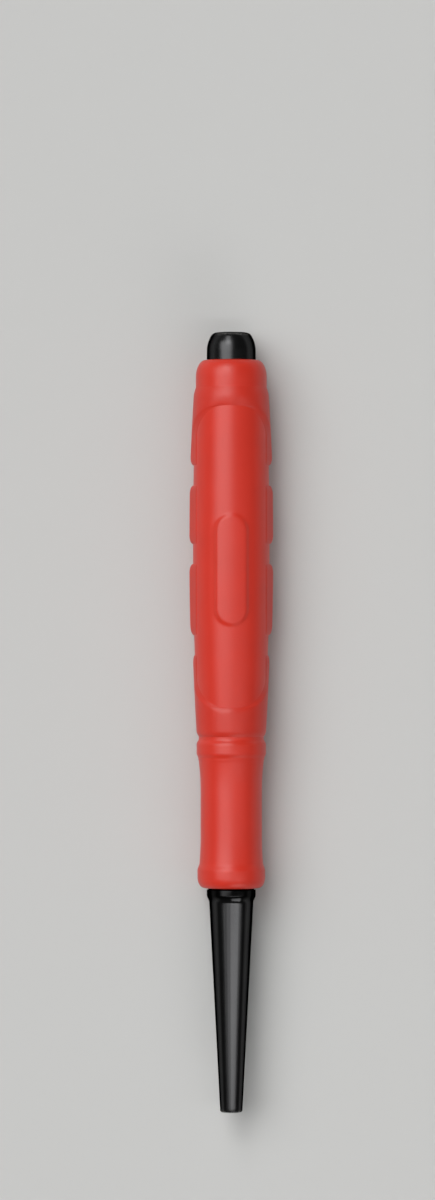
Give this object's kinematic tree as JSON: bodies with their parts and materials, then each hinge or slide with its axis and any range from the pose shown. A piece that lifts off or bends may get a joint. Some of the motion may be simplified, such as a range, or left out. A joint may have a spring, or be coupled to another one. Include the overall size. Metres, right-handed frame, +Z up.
{
  "type": "nail setter",
  "caption": "Hand-held nail setter: round blackened steel punch with a tapered, cupped point, held in a moulded red grip with soft side pads and a bare striking head.",
  "frame": {"origin": "on the surface under the lying tool, below the middle of its length", "axes": "+Y along the tool towards the striking head, +Z up out of the front of the grip, +X to the right as seen from the front"},
  "size_m": [0.014, 0.13, 0.0131],
  "materials": {
    "blackened_steel": "black oxide, satin",
    "grip_plastic": "satin, finely textured",
    "grip_rubber": "matt, soft"
  },
  "bodies": {
    "root": {"punch": "blackened_steel", "grip_sleeve": "grip_plastic", "upper_band": "grip_rubber", "lower_band": "grip_rubber", "left_upper_pad": "grip_rubber", "right_upper_pad": "grip_rubber", "left_lower_pad": "grip_rubber", "right_lower_pad": "grip_rubber"}
  },
  "joints": []
}
